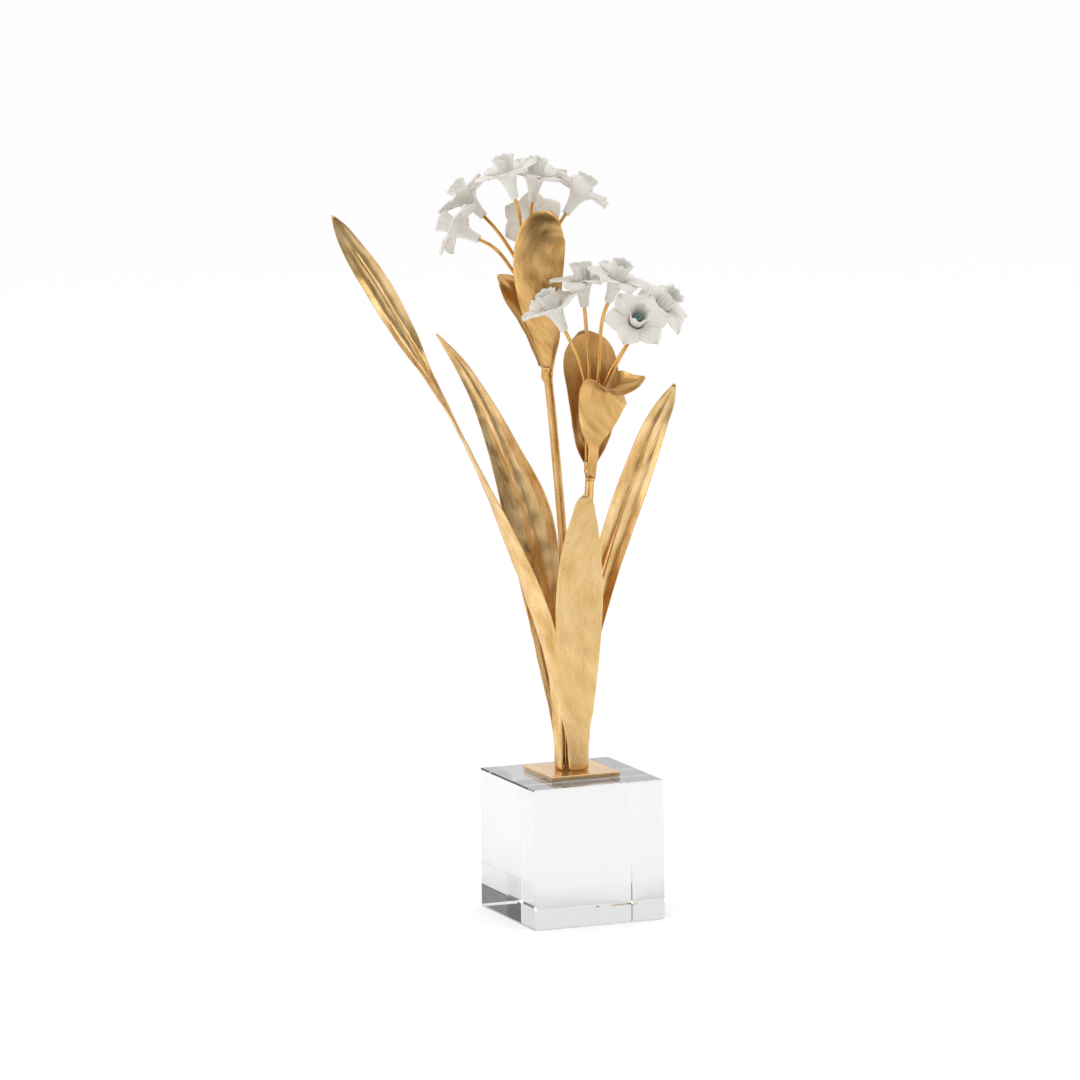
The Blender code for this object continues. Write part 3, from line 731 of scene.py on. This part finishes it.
# neck, direction, turn about it in degrees, petals' lift, and a point that the wire passes
FLORETS = {
    "upper": {
        "1": ((-44.0, 15.0, 366.3), (-0.70, 0.58, 0.42), 0, -3.0, (-24.9, 16.0, 349.0)),
        "2": ((-35.7, 28.0, 376.9), (-0.52, 0.50, 0.69), 13, 2.0, (-22.4, 21.2, 357.0)),
        "3": ((-25.8, 8.6, 387.9), (-0.29, 0.01, 0.96), 16, 1.0, (-19.5, 15.0, 370.9)),
        "4": ((-10.3, 21.3, 384.2), (0.05, -0.16, 0.99), 35, 2.0, (-11.0, 18.2, 362.0)),
        "5": ((3.3, 7.9, 378.1), (0.59, 0.00, 0.81), 29, 0.0, (-4.6, 10.4, 350.0)),
        "6": ((-6.6, 30.9, 368.4), (0.40, 0.90, 0.15), 30, 0.0, (-4.0, 23.5, 344.0)),
    },
    "lower": {
        "1": ((-6.7, -12.5, 318.5), (-0.47, -0.01, 0.88), 15, 1.0, (5.6, -9.6, 291.6)),
        "2": ((7.7, -6.0, 329.6), (-0.10, -0.06, 0.99), 44, -1.5, (9.8, -6.8, 292.1)),
        "3": ((17.3, -16.3, 332.9), (0.22, -0.36, 0.91), 5, -1.5, (13.2, -11.4, 294.0)),
        "4": ((23.1, -34.5, 317.7), (-0.15, -0.80, 0.58), 59, 0.0, (16.6, -17.4, 293.5)),
        "5": ((39.5, -16.5, 321.1), (0.43, -0.61, 0.67), 27, -2.5, (20.6, -11.0, 292.4)),
    },
}
for tier, group in FLORETS.items():
    head = HEAD_TOP[tier]
    bearing = {n: math.atan2(f[4][1] - head[1], f[4][0] - head[0]) for n, f in group.items()}
    ordered = sorted(group, key=bearing.get)
    for ring_place, number in enumerate(ordered):
        neck, axis, roll, lift, passing = group[number]
        tag = f"{tier}_{number}"
        chance = random.Random(f"floret {tag}")
        axis = Vector(axis).normalized()
        angle = bearing[ordered[0]] + 2 * math.pi * ring_place / len(ordered)
        foot = head + (WIRE_CIRCLE * math.cos(angle), WIRE_CIRCLE * math.sin(angle), 0.0)
        reach, nose = np.array(neck), np.array(axis)
        route = [foot, foot + (0, 0, WIRE_RISE), passing]
        route += [reach - nose * WIRE_LEAD, reach, reach + nose * WIRE_DEPTH]
        wire = smooth_line(route, WIRE_RINGS)
        radii = [WIRE_RADIUS] * WIRE_RINGS
        shape_rod(f"wire_{tag}", wire, radii, WIRE_GOLD, "gilding", f"pedicel_{tag}", uneven=0.06)
        turn = axis.to_track_quat("Z", "Y").to_matrix().to_4x4()
        spin = Matrix.Rotation(math.radians(roll), 4, "Z")
        place = Matrix.Translation(Vector(neck) * MM) @ turn @ spin
        make_perianth(f"petals_{tag}", f"perianth_{tag}", place, lift, chance)
        make_corona(f"cup_{tag}", f"corona_{tag}", place, chance)
        make_stamens(f"filaments_{tag}", f"stamens_{tag}", place, chance)


# ---------------------------------------------------------------- room, lights and camera
# A white table that glows faintly, in a white room with two darker parts in front for the metal and
# the crystal to reflect, and three soft boxes, at the left, at the right and above.


def pale_table():
    material, nodes, links, shader = new_material("white_table")
    shader.inputs["Base Color"].default_value = (0.97, 0.97, 0.97, 1.0)
    shader.inputs["Roughness"].default_value = 0.9
    shader.inputs["Emission Color"].default_value = (1.0, 1.0, 1.0, 1.0)
    shader.inputs["Emission Strength"].default_value = 0.12
    mesh = bpy.data.meshes.new("table")
    mesh.from_pydata([(-12, -12, 0), (12, -12, 0), (12, 12, 0), (-12, 12, 0)], [], [(0, 1, 2, 3)])
    mesh.materials.append(material)
    table = bpy.data.objects.new("table", mesh)
    table.location.z = -0.0002
    bpy.context.scene.collection.objects.link(table)
    table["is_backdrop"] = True


def studio_sky():
    world = bpy.data.worlds.new("studio_sky")
    bpy.context.scene.world = world
    world.use_nodes = True
    nodes, links = world.node_tree.nodes, world.node_tree.links
    sky = nodes["Background"]
    where = nodes.new("ShaderNodeTexCoord")
    shades = []
    # where each darker part of the room lies, how near it the shade starts and how dark it gets
    for toward, starts, darkest in (((-0.55, -0.83, 0.06), 0.45, 0.10), ((0.60, -0.79, 0.10), 0.86, 0.02)):
        facing = nodes.new("ShaderNodeVectorMath")
        facing.operation = "DOT_PRODUCT"
        facing.inputs[1].default_value = toward
        links.new(where.outputs["Generated"], facing.inputs[0])
        dimmed = nodes.new("ShaderNodeValToRGB")
        dimmed.color_ramp.interpolation = "EASE"
        dimmed.color_ramp.elements[0].position = starts
        dimmed.color_ramp.elements[0].color = (1.0, 1.0, 1.0, 1.0)
        dimmed.color_ramp.elements[1].position = 0.96
        dimmed.color_ramp.elements[1].color = (darkest, darkest, darkest, 1.0)
        links.new(facing.outputs["Value"], dimmed.inputs["Fac"])
        shades.append(dimmed)
    both = nodes.new("ShaderNodeMix")
    both.data_type = "RGBA"
    both.blend_type = "MULTIPLY"
    both.inputs["Factor"].default_value = 1.0
    links.new(shades[0].outputs["Color"], both.inputs["A"])
    links.new(shades[1].outputs["Color"], both.inputs["B"])
    path = nodes.new("ShaderNodeLightPath")
    seen = nodes.new("ShaderNodeMix")
    seen.data_type = "RGBA"
    seen.inputs["B"].default_value = (1.0, 1.0, 1.0, 1.0)
    links.new(path.outputs["Is Camera Ray"], seen.inputs["Factor"])
    links.new(both.outputs["Result"], seen.inputs["A"])
    links.new(seen.outputs["Result"], sky.inputs["Color"])
    sky.inputs["Strength"].default_value = 1.0


def soft_box(name, bearing, height, distance, width, tall, power):
    lamp = bpy.data.lights.new(name, "AREA")
    lamp.shape = "RECTANGLE"
    lamp.size, lamp.size_y, lamp.energy = width, tall, power
    box = bpy.data.objects.new(name, lamp)
    turn = math.radians(bearing)
    box.location = (distance * math.sin(turn), -distance * math.cos(turn), height)
    aim = Vector((0, 0, 0.25)) - box.location
    box.rotation_euler = aim.to_track_quat("-Z", "Y").to_euler()
    bpy.context.scene.collection.objects.link(box)


pale_table()
studio_sky()
soft_box("left_box", bearing=-85, height=0.7, distance=1.3, width=0.5, tall=1.2, power=4.5)
soft_box("right_box", bearing=42, height=0.7, distance=1.3, width=0.35, tall=1.2, power=3.0)
soft_box("top_box", bearing=-20, height=1.9, distance=0.5, width=1.0, tall=1.0, power=4.5)

AZIMUTH, ELEVATION, ROLL = -22.57, 8.87, -0.62
STANDPOINT = (-1.6137, -3.8416, 0.8537)
lens = bpy.data.cameras.new("camera")
lens.sensor_width = 36.0
lens.lens = 262.2
lens.clip_end = 100.0
camera = bpy.data.objects.new("camera", lens)
bpy.context.scene.collection.objects.link(camera)
tilt = Matrix.Rotation(math.radians(90 - ELEVATION), 4, "X")
stance = Matrix.Rotation(math.radians(AZIMUTH), 4, "Z") @ tilt @ Matrix.Rotation(math.radians(ROLL), 4, "Z")
camera.matrix_world = Matrix.Translation(STANDPOINT) @ stance
bpy.context.scene.camera = camera
bpy.context.scene.view_settings.view_transform = "Standard"

low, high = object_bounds()
